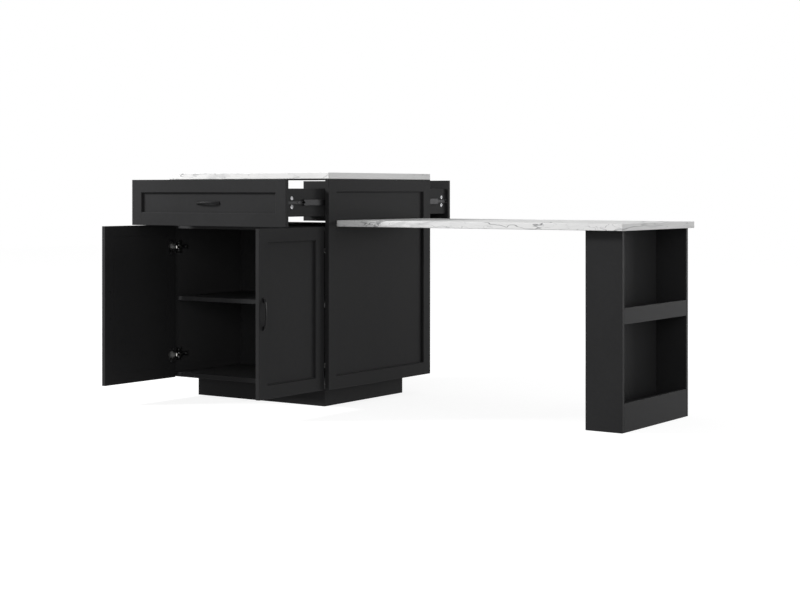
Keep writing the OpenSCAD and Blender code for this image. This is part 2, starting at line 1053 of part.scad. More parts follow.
// Places children at each cup, on the inner face of the closed right door
module at_cups() {
    for (z = hinge_zs)
        translate([side_in - side_gap - cup_edge, cab_f + front_t, z])
            rotate([-90, 0, 0])
                children();
}

module cup_cuts() {
    translate([0, 0, -cup_depth])
        cylinder(h = cup_depth + over, d = cup_d);
    for (z = [-cup_screw_z, cup_screw_z])
        translate([0, z, 0])
            screw_hole(cup_screw_l - over, screw_d);
}

module hinge_cup() {
    shell_r = cup_d / 2 - cup_fit;
    difference() {
        union() {
            translate([0, 0, -cup_depth + cup_fit])
                cylinder(h = cup_depth - cup_fit, r = shell_r);
            translate([-flange_w / 2, -flange_h / 2, 0])
                cube([flange_w, flange_h, flange_t]);
            cylinder(h = flange_t, r = shell_r + flange_ring);
        }
        translate([0, 0, -cup_depth + cup_fit + cup_wall])
            cylinder(h = cup_depth + flange_t, r = shell_r - cup_wall);
        for (z = [-cup_screw_z, cup_screw_z])
            translate([0, z, -over])
                cylinder(h = flange_t + 2 * over, d = screw_d + 2 * hole_fit);
    }
}

module place_door() {
    translate([side_in - side_gap - door_w, cab_f, plinth_h])
        children();
}

module door_frame_shape() {
    difference() {
        place_door()
            shaker_frame(door_w, door_h, front_t);
        at_cups()
            cup_cuts();
        at_door_handle()
            handle_holes(front_t);
    }
}

module door_infill_shape() {
    difference() {
        place_door()
            shaker_infill(door_w, door_h, front_t);
        at_cups()
            cup_cuts();
        at_door_handle()
            handle_holes(front_t);
    }
}

module door_screws_shape() {
    at_door_handle()
        handle_screws(front_t);
    at_cups()
        for (z = [-cup_screw_z, cup_screw_z])
            translate([0, z, flange_t])
                screw(cup_screw_l, screw_d, screw_head_d, screw_head_t);
}

module left_door_frame() {
    color(black)
        swing_left()
            door_frame_shape();
}

module left_door_infill() {
    color(black)
        swing_left()
            door_infill_shape();
}

module left_door_handle() {
    color(grip_black)
        swing_left()
            at_door_handle()
                bow_handle();
}

module left_door_screws() {
    color(steel)
        swing_left()
            door_screws_shape();
}

module left_hinge_cups() {
    color(zinc)
        swing_left()
            at_cups()
                hinge_cup();
}

module right_door_frame() {
    color(black)
        swing_right()
            door_frame_shape();
}

module right_door_infill() {
    color(black)
        swing_right()
            door_infill_shape();
}

module right_door_handle() {
    color(grip_black)
        swing_right()
            at_door_handle()
                bow_handle();
}

module right_door_screws() {
    color(steel)
        swing_right()
            door_screws_shape();
}

module right_hinge_cups() {
    color(zinc)
        swing_right()
            at_cups()
                hinge_cup();
}

// Heights of the cams on a drawer side
function cam_zs() = [box_mid - cam_pitch / 2, box_mid + cam_pitch / 2];

// Drawer parts are drawn with the outer face of the front at y = 0
module place_drawer_front() {
    translate([-front_w / 2, 0, drawer_low])
        children();
}

module at_drawer_handle() {
    translate([0, recess, drawer_low + drawer_h / 2])
        children();
}

module drawer_frame_shape() {
    difference() {
        place_drawer_front()
            shaker_frame(front_w, drawer_h, front_t);
        for (x = [-1, 1])
            for (z = cam_zs())
                translate([x * (box_in + box_t / 2), front_t - cam_bolt_in - cam_fit, z])
                    rotate([-90, 0, 0])
                        cylinder(h = front_t, d = cam_bolt_d + 2 * cam_fit);
    }
}

module drawer_infill_shape() {
    difference() {
        place_drawer_front()
            shaker_infill(front_w, drawer_h, front_t);
        at_drawer_handle()
            handle_holes(front_t - recess);
    }
}

module drawer_floor_cut() {
    low = box_z + floor_up - floor_fit;
    translate([-box_in - groove, front_t - over, low])
        cube([2 * (box_in + groove), box_l - box_t + groove + over, floor_t + 2 * floor_fit]);
}

module drawer_sides_shape() {
    difference() {
        for (x = [-box_out, box_in])
            translate([x, front_t, box_z])
                eased_box([box_t, box_l, box_h], ease);
        drawer_floor_cut();
        for (x = [-1, 1])
            for (z = cam_zs()) {
                translate([x * (box_out - cam_t - cam_fit), front_t + cam_in, z])
                    rotate([0, x * 90, 0])
                        cylinder(h = cam_t + cam_fit + over, d = cam_d + 2 * cam_fit);
                translate([x * (box_in + box_t / 2), front_t - over, z])
                    rotate([-90, 0, 0])
                        cylinder(h = cam_in + over, d = cam_bolt_d + 2 * cam_fit);
            }
        for (x = [-1, 1])
            for (y = slide_screws_y)
                translate([x * (box_out - slide_screw_l - cam_fit), slide_f + y, box_mid])
                    rotate([0, x * 90, 0])
                        cylinder(h = slide_screw_l + cam_fit + over, d = screw_d + 2 * hole_fit);
    }
}

module drawer_back_shape() {
    difference() {
        translate([-box_in, front_t + box_l - box_t, box_z])
            cube([2 * box_in, box_t, box_h]);
        drawer_floor_cut();
    }
}

module drawer_floor_shape() {
    fit = groove - floor_fit;
    translate([-box_in - fit, front_t, box_z + floor_up])
        cube([2 * (box_in + fit), box_l - box_t + fit, floor_t]);
}

// The cams show as discs on the drawer sides, and each draws in a bolt from the front
module drawer_cams_shape() {
    for (x = [-1, 1])
        for (z = cam_zs()) {
            translate([x * (box_out - cam_t), front_t + cam_in, z])
                rotate([0, x * 90, 0])
                    difference() {
                        cylinder(h = cam_t, d = cam_d);
                        for (a = [0, 90])
                            rotate([0, 0, a])
                                translate([-cam_d / 4, -cam_slot_w / 2, cam_t - cam_slot_in])
                                    cube([cam_d / 2, cam_slot_w, cam_slot_in + over]);
                    }
            translate([x * (box_in + box_t / 2), front_t - cam_bolt_in, z])
                rotate([-90, 0, 0])
                    cylinder(h = cam_bolt_in + cam_in - cam_d / 2 - cam_fit, d = cam_bolt_d);
        }
}

module drawer_slides_shape() {
    for (m = [0, 1])
        mirror([m, 0, 0])
            translate([side_in, slide_f, box_mid])
                mirror([1, 0, 0])
                    slide_inner();
}

module drawer_screws_shape() {
    at_drawer_handle()
        handle_screws(front_t - recess);
    for (x = [-1, 1])
        for (y = slide_screws_y)
            translate([x * (box_out + slide_wall), slide_f + y, box_mid])
                rotate([0, x * 90, 0])
                    screw(slide_screw_l + slide_wall - hole_fit, screw_d, screw_head_d, screw_head_t);
}

module front_drawer_frame() {
    color(black)
        at_front_drawer()
            drawer_frame_shape();
}

module front_drawer_infill() {
    color(black)
        at_front_drawer()
            drawer_infill_shape();
}

module front_drawer_sides() {
    color(black)
        at_front_drawer()
            drawer_sides_shape();
}

module front_drawer_back() {
    color(black)
        at_front_drawer()
            drawer_back_shape();
}

module front_drawer_floor() {
    color(black_inside)
        at_front_drawer()
            drawer_floor_shape();
}

module front_drawer_handle() {
    color(grip_black)
        at_front_drawer()
            at_drawer_handle()
                bow_handle();
}

module front_drawer_screws() {
    color(steel)
        at_front_drawer()
            drawer_screws_shape();
}

module front_drawer_cams() {
    color(zinc)
        at_front_drawer()
            drawer_cams_shape();
}

module front_drawer_slides() {
    color(zinc)
        at_front_drawer()
            drawer_slides_shape();
}

module rear_drawer_frame() {
    color(black)
        at_rear_drawer()
            drawer_frame_shape();
}

module rear_drawer_infill() {
    color(black)
        at_rear_drawer()
            drawer_infill_shape();
}

module rear_drawer_sides() {
    color(black)
        at_rear_drawer()
            drawer_sides_shape();
}

module rear_drawer_back() {
    color(black)
        at_rear_drawer()
            drawer_back_shape();
}

module rear_drawer_floor() {
    color(black_inside)
        at_rear_drawer()
            drawer_floor_shape();
}

module rear_drawer_handle() {
    color(grip_black)
        at_rear_drawer()
            at_drawer_handle()
                bow_handle();
}

module rear_drawer_screws() {
    color(steel)
        at_rear_drawer()
            drawer_screws_shape();
}

module rear_drawer_cams() {
    color(zinc)
        at_rear_drawer()
            drawer_cams_shape();
}

module rear_drawer_slides() {
    color(zinc)
        at_rear_drawer()
            drawer_slides_shape();
}

countertop();
left_side_frame();
left_side_infill();
right_side_frame();
right_side_infill();
bottom_board();
divider_board();
middle_wall();
front_shelf();
rear_shelf();
shelf_pins();
plinth_front();
plinth_back();
plinth_sides();
plinth_centre_rail();
slide_cabinet_members();
hinge_plates();
hinge_arms();
corner_brackets();
wood_screws();
table_top();
table_bolts();
leg_side_boards();
leg_back_panel();
leg_shelf();
leg_shelf_lip();
leg_bottom_board();
leg_kick_board();
left_door_frame();
left_door_infill();
left_door_handle();
left_door_screws();
left_hinge_cups();
left_hinge_links();
right_door_frame();
right_door_infill();
right_door_handle();
right_door_screws();
right_hinge_cups();
right_hinge_links();
front_drawer_frame();
front_drawer_infill();
front_drawer_sides();
front_drawer_back();
front_drawer_floor();
front_drawer_handle();
front_drawer_screws();
front_drawer_cams();
front_drawer_slides();
front_slide_middles();
rear_drawer_frame();
rear_drawer_infill();
rear_drawer_sides();
rear_drawer_back();
rear_drawer_floor();
rear_drawer_handle();
rear_drawer_screws();
rear_drawer_cams();
rear_drawer_slides();
rear_slide_middles();
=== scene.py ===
import json
import math

import bpy
from mathutils import Matrix, Vector


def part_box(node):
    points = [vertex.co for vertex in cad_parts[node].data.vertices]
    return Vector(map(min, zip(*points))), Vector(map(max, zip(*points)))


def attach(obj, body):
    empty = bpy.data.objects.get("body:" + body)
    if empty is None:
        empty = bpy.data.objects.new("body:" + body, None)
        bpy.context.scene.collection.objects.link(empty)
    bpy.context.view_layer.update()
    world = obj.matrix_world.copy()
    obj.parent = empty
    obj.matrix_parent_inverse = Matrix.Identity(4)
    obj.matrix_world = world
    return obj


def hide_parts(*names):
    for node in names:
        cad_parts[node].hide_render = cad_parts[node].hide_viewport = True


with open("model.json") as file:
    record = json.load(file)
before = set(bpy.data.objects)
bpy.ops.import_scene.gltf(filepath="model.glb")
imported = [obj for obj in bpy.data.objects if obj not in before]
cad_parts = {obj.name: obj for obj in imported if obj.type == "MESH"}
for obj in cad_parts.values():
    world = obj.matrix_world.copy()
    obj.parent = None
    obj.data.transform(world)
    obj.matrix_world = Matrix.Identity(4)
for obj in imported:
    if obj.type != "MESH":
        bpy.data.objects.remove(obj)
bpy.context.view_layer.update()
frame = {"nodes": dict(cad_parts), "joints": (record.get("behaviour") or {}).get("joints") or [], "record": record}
nodes = frame["nodes"]
MM = 0.001
WHITE = (1.0, 1.0, 1.0, 1.0)

# The camera stood level, and its picture is shifted down to take in the floor.
PICTURE_W = 800
PICTURE_H = 600
FOCAL_PIXELS = 1633.43
HORIZON_PIXEL = 190.306
CAMERA_PLACE = (4.20775, -5.36188, 0.84667)
CAMERA_TURN = math.radians(34.6527)
FILM_W = 36.0

# Light of the room on the part, and the floor's own tone, speckle, glow and half width
AMBIENT = 0.36
FLOOR_TONE = 0.34
FLOOR_SPECKLE = 0.03
FLOOR_GLOW = 0.87
FLOOR_HALF = 14.0

# Each lamp's name, place, aim, width, height and power in watts: a key lamp high on the left,
# panels on the right and behind it, and a weak fill in front
LAMPS = [
    ("key_lamp", (-4.0, -3.6, 3.5), (0.0, -0.3, 0.5), 1.6, 1.2, 425.0),
    ("rear_panel", (3.5, 4.7, 0.9), (0.6, 0.0, 0.5), 2.0, 1.6, 52.0),
    ("side_panel", (6.2, -0.4, 1.0), (0.6, 0.0, 0.5), 2.0, 1.6, 36.0),
    ("front_fill", (3.6, -5.6, 1.6), (0.2, 0.0, 0.45), 2.4, 2.0, 49.0),
]


class Value:
    """An output socket of a material. Arithmetic on it adds Math nodes."""

    def __init__(self, finish, socket):
        self.finish = finish
        self.socket = socket

    def math(self, operation, *others):
        return self.finish.math(operation, self, *others)

    def __add__(self, other):
        return self.math("ADD", other)

    def __mul__(self, other):
        return self.math("MULTIPLY", other)

    def __sub__(self, other):
        return self.math("SUBTRACT", other)

    def __rsub__(self, other):
        return self.finish.math("SUBTRACT", other, self)

    def __abs__(self):
        return self.math("ABSOLUTE")

    __radd__ = __add__
    __rmul__ = __mul__

    def ramp(self, low, high):
        """0 below low, 1 above high, and smooth between."""
        settings = {"interpolation_type": "SMOOTHSTEP"}
        inputs = {"Value": self, "From Min": low, "From Max": high}
        return self.finish.add("MapRange", settings, inputs)


class Finish:
    """The nodes of a new material or of the world, built one by one."""

    def __init__(self, owner):
        self.owner = owner
        owner.use_nodes = True
        self.tree = owner.node_tree
        self.tree.nodes.clear()

    def add(self, kind, settings=None, inputs=None, output=0):
        """Any node: its type, its settings, and the values or links of its sockets."""
        node = self.tree.nodes.new("ShaderNode" + kind)
        for key, setting in (settings or {}).items():
            setattr(node, key, setting)
        for key, value in (inputs or {}).items():
            if isinstance(value, Value):
                self.tree.links.new(value.socket, node.inputs[key])
            else:
                node.inputs[key].default_value = value
        return Value(self, node.outputs[output])

    def math(self, operation, *terms):
        return self.add("Math", {"operation": operation}, dict(enumerate(terms)))

    def mix(self, share, first, second):
        """A colour between two colours."""
        inputs = {"Factor": share, 6: first, 7: second}
        return self.add("Mix", {"data_type": "RGBA"}, inputs, 2)

    def vector(self, operation, *terms):
        return self.add("VectorMath", {"operation": operation}, dict(enumerate(terms)))

    def place(self, turn=(0, 0, 0), scale=(1, 1, 1)):
        """Where a point lies on the part, turned and stretched for a pattern."""
        point = self.add("TexCoord", output="Object")
        return self.add("Mapping", {}, {"Vector": point, "Rotation": turn, "Scale": scale})

    def noise(self, place, scale, detail=2.0, roughness=0.5, output="Fac"):
        inputs = {"Vector": place, "Scale": scale, "Detail": detail, "Roughness": roughness}
        return self.add("TexNoise", {}, inputs, output)

    def bump(self, height, strength, distance):
        inputs = {"Height": height, "Strength": strength, "Distance": distance}
        return self.add("Bump", {}, inputs)

    def surface(self, **inputs):
        """The shader itself. Words joined by underscores name its sockets."""
        named = {}
        for key, value in inputs.items():
            named[key.replace("_", " ").title().replace("Ior", "IOR")] = value
        return self.shown(self.add("BsdfPrincipled", {}, named))

    def shown(self, shader, kind="OutputMaterial"):
        """Ends the nodes in an output, and hands back their material or world."""
        node = self.tree.nodes.new("ShaderNode" + kind)
        self.tree.links.new(shader.socket, node.inputs["Surface"])
        return self.owner


def new_finish(name):
    return Finish(bpy.data.materials.new(name))


def grey(level):
    return (level, level, level, 1.0)


# A paler tone painted on the faces that look into the cabinet, as painted fill light for the dim inside, and the
# space that those faces bound.
# It reaches just past them, and stops short of the front and rear edges.
PAINTED_INSIDE_FILL = (0.050, 0.050, 0.051, 1.0)
FACE_REACH = 1.0 * MM
RIM_BACK = 1.5 * MM
BLEND = 0.6 * MM
side_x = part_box("right_side_frame")[0].x + FACE_REACH
side_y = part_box("countertop")[1].y - RIM_BACK
INSIDE = (
    (-side_x, side_x),
    (-side_y, side_y),
    (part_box("bottom_board")[1].z - FACE_REACH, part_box("countertop")[0].z + FACE_REACH),
)


def inside_share(finish):
    """1 on the faces that look into the cabinet, and 0 elsewhere."""
    point = finish.add("TexCoord", output="Object")
    share = 1.0
    for axis, (low, high) in zip("XYZ", INSIDE):
        coordinate = finish.add("SeparateXYZ", {}, {"Vector": point}, axis)
        off = abs(coordinate - (low + high) / 2)
        reach = (high - low) / 2
        share = (1 - off.ramp(reach, reach + BLEND)) * share
    return share


def black_paint():
    """Sprayed paint on board: faint clouds in tone and sheen, and a fine orange peel.
    The inner faces are painted paler, as painted fill light for the dim inside, and are a little rougher."""
    finish = new_finish("black_satin_paint")
    tone = Vector((0.0248, 0.0248, 0.0255))
    cloud = 0.10
    place = finish.place()
    inner = inside_share(finish)
    clouds = finish.noise(place, 3.0, 3.0)
    mottle = finish.noise(place, 60.0, 4.0, 0.6)
    share = (clouds * 0.7 + mottle * 0.3).ramp(0.3, 0.7)
    outer_tone = finish.mix(share, (*tone * (1 - cloud), 1.0), (*tone * (1 + cloud), 1.0))
    peel = finish.noise(place, 520.0, 2.0, 0.4)
    grain = finish.noise(place, 2600.0, 1.0)
    return finish.surface(
        # Painted fill light: the inside faces take a paler colour than the outer coat.
        base_color=finish.mix(inner, outer_tone, PAINTED_INSIDE_FILL),
        roughness=0.52 + (mottle - 0.5) * 0.10 + (clouds - 0.5) * 0.06 + inner * 0.08,
        specular_ior_level=0.05,
        normal=finish.bump(peel + grain * 0.35, 0.16, 0.12 * MM),
    )


def black_inside():
    """The matt black face of the loose boards, with a faint cloth-like press mark."""
    finish = new_finish("matt_black_board")
    place = finish.place()
    fibre = finish.noise(finish.place((0, 0, 0.2), (1, 14, 1)), 90.0, 4.0, 0.6)
    clouds = finish.noise(place, 5.0, 3.0)
    share = (fibre * 0.55 + clouds * 0.45).ramp(0.3, 0.7)
    return finish.surface(
        base_color=finish.mix(share, (0.027, 0.027, 0.028, 1), (0.037, 0.037, 0.038, 1)),
        roughness=0.60 + (fibre - 0.5) * 0.16,
        specular_ior_level=0.08,
        normal=finish.bump(fibre, 0.2, 0.15 * MM),
    )


def vein_lines(finish, place, scale, width, detail, share):
    """Thin lines where a noise crosses its middle, drawn in full only in some areas."""
    field = finish.noise(place, scale, detail, 0.55)
    off = abs(field - 0.5)
    line = 1 - off.ramp(0.0, width)
    area = finish.noise(place, scale * 0.9, 1.0)
    return line * area.ramp(0.5 - share, 0.72 - share)


def marble():
    """White laminate printed as marble: grey clouds and slanting grey veins of four sizes."""
    finish = new_finish("white_marble_laminate")
    point = finish.place((0.0, 0.0, 0.58), (1.0, 0.30, 3.6))
    drift = finish.noise(point, 2.3, 3.0, 0.6, "Color")
    fine_drift = finish.noise(point, 11.0, 2.0, 0.5, "Color")
    shift = finish.vector("SUBTRACT", drift, (0.5, 0.5, 0.5))
    fine_shift = finish.vector("SUBTRACT", fine_drift, (0.5, 0.5, 0.5))
    bent = finish.vector("MULTIPLY_ADD", shift, (0.24, 0.24, 0.24), point)
    crinkled = finish.vector("MULTIPLY_ADD", fine_shift, (0.045, 0.045, 0.045), bent)
    clouds = finish.noise(crinkled, 3.1, 4.0, 0.62)
    broad = vein_lines(finish, crinkled, 2.1, 0.050, 5.0, 0.12)
    middle = vein_lines(finish, crinkled, 4.6, 0.019, 3.0, 0.08)
    fine = vein_lines(finish, crinkled, 9.5, 0.010, 2.0, 0.02)
    thread = vein_lines(finish, crinkled, 15.0, 0.014, 2.0, 0.06)
    base = finish.mix(clouds.ramp(0.42, 0.75), (0.85, 0.85, 0.845, 1), (0.79, 0.79, 0.79, 1))
    veined = finish.mix(broad * 0.42, base, (0.42, 0.425, 0.43, 1))
    veined = finish.mix(middle * 0.88, veined, (0.17, 0.175, 0.185, 1))
    veined = finish.mix(fine * 0.85, veined, (0.16, 0.165, 0.175, 1))
    veined = finish.mix(thread * 0.55, veined, (0.30, 0.305, 0.315, 1))
    gloss = finish.noise(finish.place(), 140.0, 3.0)
    return finish.surface(
        base_color=veined,
        roughness=0.48 + (gloss - 0.5) * 0.08 + broad * 0.04,
        specular_ior_level=0.02,
        normal=finish.bump(gloss, 0.05, 0.1 * MM),
    )


def handle_black():
    """Cast handles, powder coated: a tight grain and a soft sheen."""
    finish = new_finish("black_powder_coat")
    place = finish.place()
    grain = finish.noise(place, 1900.0, 3.0, 0.6)
    clouds = finish.noise(place, 45.0, 2.0)
    return finish.surface(
        base_color=finish.mix(clouds, (0.007, 0.007, 0.0075, 1), (0.012, 0.012, 0.0125, 1)),
        roughness=0.27 + (grain - 0.5) * 0.14,
        specular_ior_level=0.10,
        normal=finish.bump(grain, 0.22, 0.06 * MM),
    )


def plated(name, dark, light, roughness, stretch=(1, 1, 1), scale=900.0):
    """Plated or drawn metal: fine lines along one direction and small stains."""
    finish = new_finish(name)
    place = finish.place()
    lines = finish.noise(finish.place(scale=stretch), scale, 3.0, 0.6)
    stains = finish.noise(place, 85.0, 4.0, 0.6)
    share = (lines * 0.5 + stains * 0.5).ramp(0.3, 0.7)
    return finish.surface(
        base_color=finish.mix(share, (*dark, 1.0), (*light, 1.0)),
        metallic=1.0,
        roughness=roughness + (lines - 0.5) * 0.16 + (stains - 0.5) * 0.10,
        normal=finish.bump(lines, 0.10, 0.04 * MM),
    )


# The lines of a metal run along the way that it was drawn or rolled. A screw's are closer.
ALONG_Y = (14, 1, 14)
ACROSS_Z = (1, 1, 6)
EVEN = (1, 1, 1)
SCREW_GRAIN = 1500.0


def nickel():
    return plated("bright_nickel", (0.54, 0.53, 0.51), (0.68, 0.67, 0.65), 0.24, ACROSS_Z)


def dull_nickel():
    return plated("dull_nickel", (0.17, 0.17, 0.17), (0.28, 0.28, 0.275), 0.34, ACROSS_Z)


def zinc():
    return plated("zinc_plate", (0.46, 0.47, 0.49), (0.62, 0.63, 0.64), 0.36)


def slide_steel():
    dark, light = (0.020, 0.020, 0.021), (0.038, 0.038, 0.039)
    return plated("black_coated_slide_steel", dark, light, 0.46, ALONG_Y)


def black_screw():
    dark, light = (0.030, 0.030, 0.032), (0.055, 0.055, 0.057)
    return plated("blackened_steel", dark, light, 0.36, EVEN, SCREW_GRAIN)


def cam_zinc():
    return plated("die_cast_zinc", (0.26, 0.26, 0.27), (0.38, 0.38, 0.39), 0.38)


def steel():
    dark, light = (0.26, 0.26, 0.265), (0.42, 0.42, 0.425)
    return plated("screw_steel", dark, light, 0.30, EVEN, SCREW_GRAIN)


FINISHES = {
    "black_paint": black_paint(),
    "black_inside": black_inside(),
    "stone": marble(),
    "handle_black": handle_black(),
    "nickel": nickel(),
    "dull_nickel": dull_nickel(),
    "zinc": zinc(),
    "slide_steel": slide_steel(),
    "steel": steel(),
    "cam_zinc": cam_zinc(),
    "black_screw": black_screw(),
}


def paint(piece, finish):
    """Puts a finish on every face of a piece."""
    if not piece.data.materials:
        piece.data.materials.append(None)
    for i in range(len(piece.data.materials)):
        piece.data.materials[i] = FINISHES[finish]


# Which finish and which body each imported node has

SLOTS = {
    "stone": ["countertop", "table_top"],
    "black_inside": [
        "middle_wall", "front_shelf", "rear_shelf", "front_drawer_floor", "rear_drawer_floor",
        "leg_shelf", "leg_bottom_board",
    ],
    "handle_black": [n for n in nodes if n.endswith("_handle")],
    "nickel": ["hinge_plates", "hinge_arms"] + [
        n for n in nodes if n.endswith(("_cups", "_links", "_cams"))
    ],
    "zinc": ["corner_brackets"],
    "slide_steel": ["slide_cabinet_members"] + [
        n for n in nodes if n.endswith(("_drawer_slides", "_slide_middles"))
    ],
    "steel": ["shelf_pins", "table_bolts"] + [n for n in nodes if n.endswith("_screws")],
}
SLOT_OF = {node: slot for slot, names in SLOTS.items() for node in names}
BODY_OF = {
    node: body for body, names in frame["record"]["behaviour"]["bodies"].items() for node in names
}


def slot_of(node):
    return SLOT_OF.get(node, "black_paint")


# Modelling by hand: small steps that each use Blender's own operators

MESH_ITEMS = {
    "faces": ("FACE", "polygons"),
    "edges": ("EDGE", "edges"),
    "vertices": ("VERT", "vertices"),
}
# Edges that turn by more than this many degrees are rounded and shaded as edges. A face looks
# along an axis where its normal's share of it is more than FACING.
SHARP = 35
FACING = 0.9
UNMOVED = Matrix.Identity(4)
HALF_TURN = Matrix.Rotation(math.pi, 4, "Z")


def clear():
    """Deselects everything, so that the next primitive is shaped alone."""
    bpy.ops.object.select_all(action="DESELECT")


def only(*pieces):
    """Selects just these pieces and makes the first one active."""
    clear()
    for piece in pieces:
        piece.select_set(True)
    bpy.context.view_layer.objects.active = pieces[0]


def edit():
    """Opens edit mode with every vertex selected."""
    bpy.ops.object.mode_set(mode="EDIT")
    bpy.ops.mesh.select_mode(type="VERT")
    bpy.ops.mesh.select_all(action="SELECT")


def done():
    bpy.ops.object.mode_set(mode="OBJECT")


def pick(piece, want, kind="faces"):
    """Selects the faces, edges or vertices that want() accepts, and opens edit mode on them."""
    mode, items = MESH_ITEMS[kind]
    bpy.ops.object.mode_set(mode="EDIT")
    bpy.ops.mesh.select_mode(type=mode)
    bpy.ops.mesh.select_all(action="DESELECT")
    bpy.ops.object.mode_set(mode="OBJECT")
    for item in getattr(piece.data, items):
        item.select = bool(want(item))
    bpy.ops.object.mode_set(mode="EDIT")


def extrude(x=0.0, y=0.0, z=0.0):
    bpy.ops.mesh.extrude_region_move(TRANSFORM_OT_translate={"value": (x, y, z)})


def resize(scale, centre=(0, 0, 0)):
    bpy.ops.transform.resize(value=scale, center_override=centre)


def face_outwards():
    bpy.ops.mesh.select_all(action="SELECT")
    bpy.ops.mesh.normals_make_consistent(inside=False)


def apply_modifier(piece, kind, **settings):
    """Adds a modifier with its settings and applies it."""
    only(piece)
    modifier = piece.modifiers.new(kind.title(), kind)
    for key, value in settings.items():
        setattr(modifier, key, value)
    bpy.ops.object.modifier_apply(modifier=modifier.name)


def round_edges(piece, width, segments=2):
    apply_modifier(
        piece, "BEVEL", width=width, segments=segments, limit_method="ANGLE",
        angle_limit=math.radians(SHARP), use_clamp_overlap=True,
    )


def smooth(piece, angle=SHARP):
    only(piece)
    bpy.ops.object.shade_smooth_by_angle(angle=math.radians(angle))


def keep_flats(piece):
    """Shades large faces flat, so that only the narrow rounded ones turn the light."""
    apply_modifier(piece, "WEIGHTED_NORMAL", keep_sharp=True, weight=100)


def settle(piece):
    """Moves a piece's place into its mesh, so that its object is at the origin, unturned."""
    only(piece)
    bpy.ops.object.transform_apply(location=True, rotation=True, scale=True)


def copy_of(piece, matrix, name="copy"):
    """A copy with its own mesh, placed by a matrix."""
    twin = bpy.data.objects.new(name, piece.data.copy())
    bpy.context.scene.collection.objects.link(twin)
    twin.data.transform(matrix)
    return twin


def joined(name, pieces):
    """Makes several pieces one object."""
    only(*pieces)
    bpy.ops.object.join()
    piece = bpy.context.view_layer.objects.active
    piece.name = name
    piece.data.name = name
    return piece


def dress(piece, node, finish=None):
    """A finished piece stands for a node and rides on its body. It has the finish of its slot,
    or the one that is given."""
    slot = slot_of(node)
    paint(piece, finish or slot)
    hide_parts(node)
    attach(piece, BODY_OF[node])


def remove(*pieces):
    for piece in pieces:
        bpy.data.objects.remove(piece)


# Places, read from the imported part

WELD = 0.002 * MM
FLAT_ANGLE = math.radians(0.5)


def swing_of(side):
    """How a door's parts stand, as a turn from shut about the hinge edge."""
    joint = next(j for j in frame["joints"] if j["name"] == side + "_door_swing")
    centre = Vector(joint["pos_m"])
    turn = Matrix.Rotation(-math.radians(joint["range_deg"][0]), 4, Vector(joint["axis"]))
    return Matrix.Translation(centre) @ turn @ Matrix.Translation(-centre)


def welded(node):
    """A copy of a node's mesh with its loose triangles merged into solids."""
    piece = bpy.data.objects.new(node + "_fine", nodes[node].data.copy())
    bpy.context.scene.collection.objects.link(piece)
    only(piece)
    if piece.data.has_custom_normals:
        bpy.ops.mesh.customdata_custom_splitnormals_clear()
    edit()
    bpy.ops.mesh.remove_doubles(threshold=WELD)
    bpy.ops.mesh.dissolve_limited(angle_limit=FLAT_ANGLE)
    done()
    return piece


def solids(node, shut=UNMOVED):
    """The corner points of each solid in a node, as they are when its door is shut."""
    piece = welded(node)
    only(piece)
    edit()
    bpy.ops.mesh.separate(type="LOOSE")
    done()
    parts = list(bpy.context.selected_objects)
    back = shut.inverted()
    points = [[back @ v.co for v in part.data.vertices] for part in parts]
    remove(*parts)
    return points


def box_of(points):
    """Lowest and highest corner of some points."""
    sides = [[p[axis] for p in points] for axis in range(3)]
    return Vector([min(side) for side in sides]), Vector([max(side) for side in sides])


def along(axis, length=1.0):
    return Vector([length if a == axis else 0.0 for a in range(3)])


# Camera, floor and lamps


def make_camera():
    data = bpy.data.cameras.new("camera")
    data.sensor_width = FILM_W
    data.lens = FILM_W * FOCAL_PIXELS / PICTURE_W
    data.shift_y = (HORIZON_PIXEL - PICTURE_H / 2) / PICTURE_W
    camera = bpy.data.objects.new("camera", data)
    camera.location = CAMERA_PLACE
    camera.rotation_euler = (math.pi / 2, 0, CAMERA_TURN)
    bpy.context.scene.collection.objects.link(camera)
    bpy.context.scene.camera = camera


def background_rays(finish):
    """1 for rays that should meet a plain white background: seen, mirrored or let through."""
    seen, mirrored, let_through = [
        finish.add("LightPath", output=name)
        for name in ("Is Camera Ray", "Is Glossy Ray", "Is Transmission Ray")
    ]
    return seen.math("MAXIMUM", mirrored).math("MAXIMUM", let_through)


def floor_finish():
    """Pale floor: bright enough to be white in the picture, and darker in the soft shadow."""
    finish = new_finish("pale_floor")
    speckle = finish.noise(finish.place(), 40.0, 3.0)
    dark, light = FLOOR_TONE * (1 - FLOOR_SPECKLE), FLOOR_TONE * (1 + FLOOR_SPECKLE)
    tone = finish.mix(speckle, grey(dark), grey(light))
    body = finish.add("BsdfDiffuse", {}, {"Color": tone})
    glow = finish.add("Emission", {}, {"Color": WHITE, "Strength": FLOOR_GLOW})
    lit = finish.add("AddShader", {}, {0: body, 1: glow})
    return finish.shown(
        finish.add("MixShader", {}, {0: background_rays(finish), 1: body, 2: lit})
    )


def make_floor():
    """A wide pale floor under the part, for the picture alone."""
    clear()
    bpy.ops.mesh.primitive_plane_add(size=2 * FLOOR_HALF, location=(0, 0, 0))
    floor = bpy.context.object
    floor.name = "floor"
    edit()
    bpy.ops.mesh.subdivide(number_cuts=3)
    done()
    floor.data.materials.append(floor_finish())


def make_world():
    """White where it is seen, and a softer light of the room on the part."""
    world = bpy.data.worlds.new("studio")
    bpy.context.scene.world = world
    finish = Finish(world)
    background = finish.add("Background", {}, {"Color": WHITE, "Strength": 1.0})
    around = finish.add("Background", {}, {"Color": WHITE, "Strength": AMBIENT})
    rays = background_rays(finish)
    finish.shown(finish.add("MixShader", {}, {0: rays, 1: around, 2: background}), "OutputWorld")


